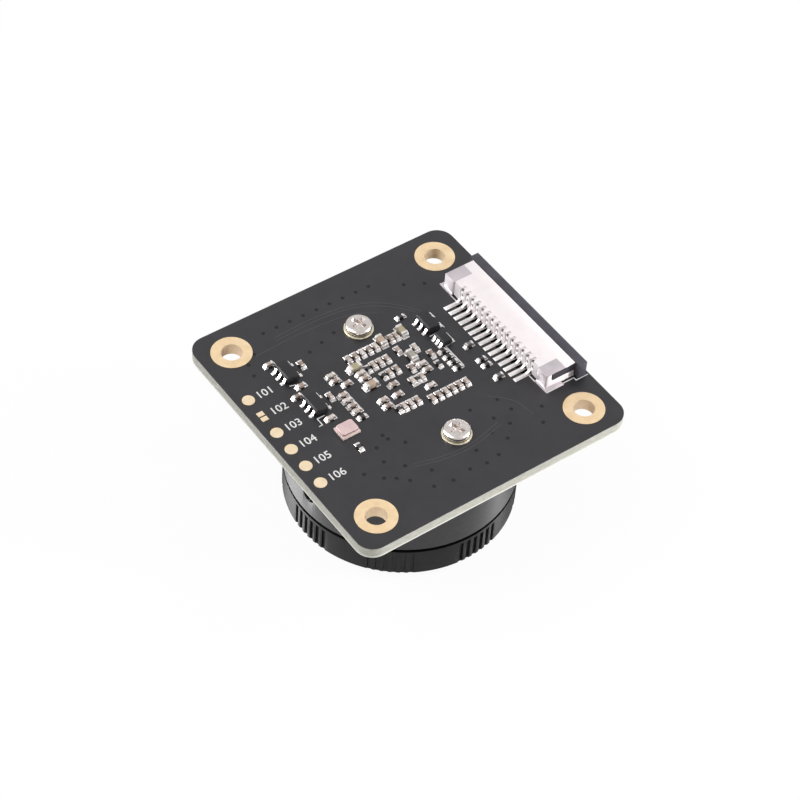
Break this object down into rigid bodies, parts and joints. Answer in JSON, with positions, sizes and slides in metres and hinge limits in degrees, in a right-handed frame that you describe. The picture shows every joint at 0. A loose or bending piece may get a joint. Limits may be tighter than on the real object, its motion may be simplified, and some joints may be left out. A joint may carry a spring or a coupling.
{
  "type": "camera module",
  "caption": "Square circuit board on a round threaded lens mount with an adapter ring, with an image sensor inside and a ribbon cable connector along one edge.",
  "frame": {"origin": "on the lens axis, in the front face of the adapter ring that the module stands on", "axes": "+Z along the lens axis, from the lens side to the component side of the board; +X towards the edge with the ribbon cable connector"},
  "size_m": [0.038, 0.038, 0.0218],
  "materials": {
    "black_anodised": "satin black anodised, turned",
    "black_anodised_fine": "satin black anodised, fine turned",
    "black_steel": "blackened steel",
    "chip_case_plastic": "matte epoxy",
    "cover_glass": "clear",
    "dull_tin": "dull tin",
    "foam": "matte foam",
    "gold_plate": "immersion gold",
    "infrared_filter": "coated, pale blue",
    "ivory_plastic": "satin moulded, near white",
    "nickel_steel": "bright nickel plated",
    "olive_ceramic": "matte",
    "package_ceramic": "matte",
    "resistor_coat": "glossy glass coat",
    "rose_nickel": "brushed, faint rose",
    "silicon": "polished, iridescent",
    "slate_plastic": "satin moulded",
    "solder": "bright solder",
    "solder_mask": "semi-gloss charcoal solder mask over glass laminate",
    "tan_ceramic": "matte",
    "tin_plate": "bright tin"
  },
  "bodies": {
    "module": {"board_screws": "nickel_steel", "capacitor_bodies": "tan_ceramic", "capacitor_ends": "solder", "circuit_board": "solder_mask", "connector_anchors": "dull_tin", "connector_contacts": "tin_plate", "connector_housing": "ivory_plastic", "crystal_base": "package_ceramic", "crystal_lid": "rose_nickel", "diode_bodies": "chip_case_plastic", "diode_ends": "solder", "dust_gasket": "foam", "filter_glass": "infrared_filter", "large_capacitor_bodies": "olive_ceramic", "large_capacitor_ends": "solder", "lens_housing": "black_anodised_fine", "lens_lock_screw": "black_steel", "mounting_pads": "gold_plate", "regulator_cases": "chip_case_plastic", "regulator_leads": "tin_plate", "resistor_bodies": "resistor_coat", "resistor_ends": "solder", "sensor_die": "silicon", "sensor_glass": "cover_glass", "sensor_package": "package_ceramic", "small_chip_case": "chip_case_plastic", "small_chip_leads": "tin_plate", "test_pads": "gold_plate"},
    "adapter": {"adapter_ring": "black_anodised"},
    "latch": {"connector_latch": "slate_plastic"}
  },
  "joints": [
    {"name": "latch_slide", "type": "slide", "parent": "module", "child": "latch", "axis": [1, 0, 0], "range_m": [0, 0.0012]},
    {"name": "adapter_turn", "type": "hinge", "parent": "module", "child": "adapter", "pos_m": [0, 0, 0.005], "axis": [0, 0, 1], "range_deg": [-90, 0]}
  ]
}
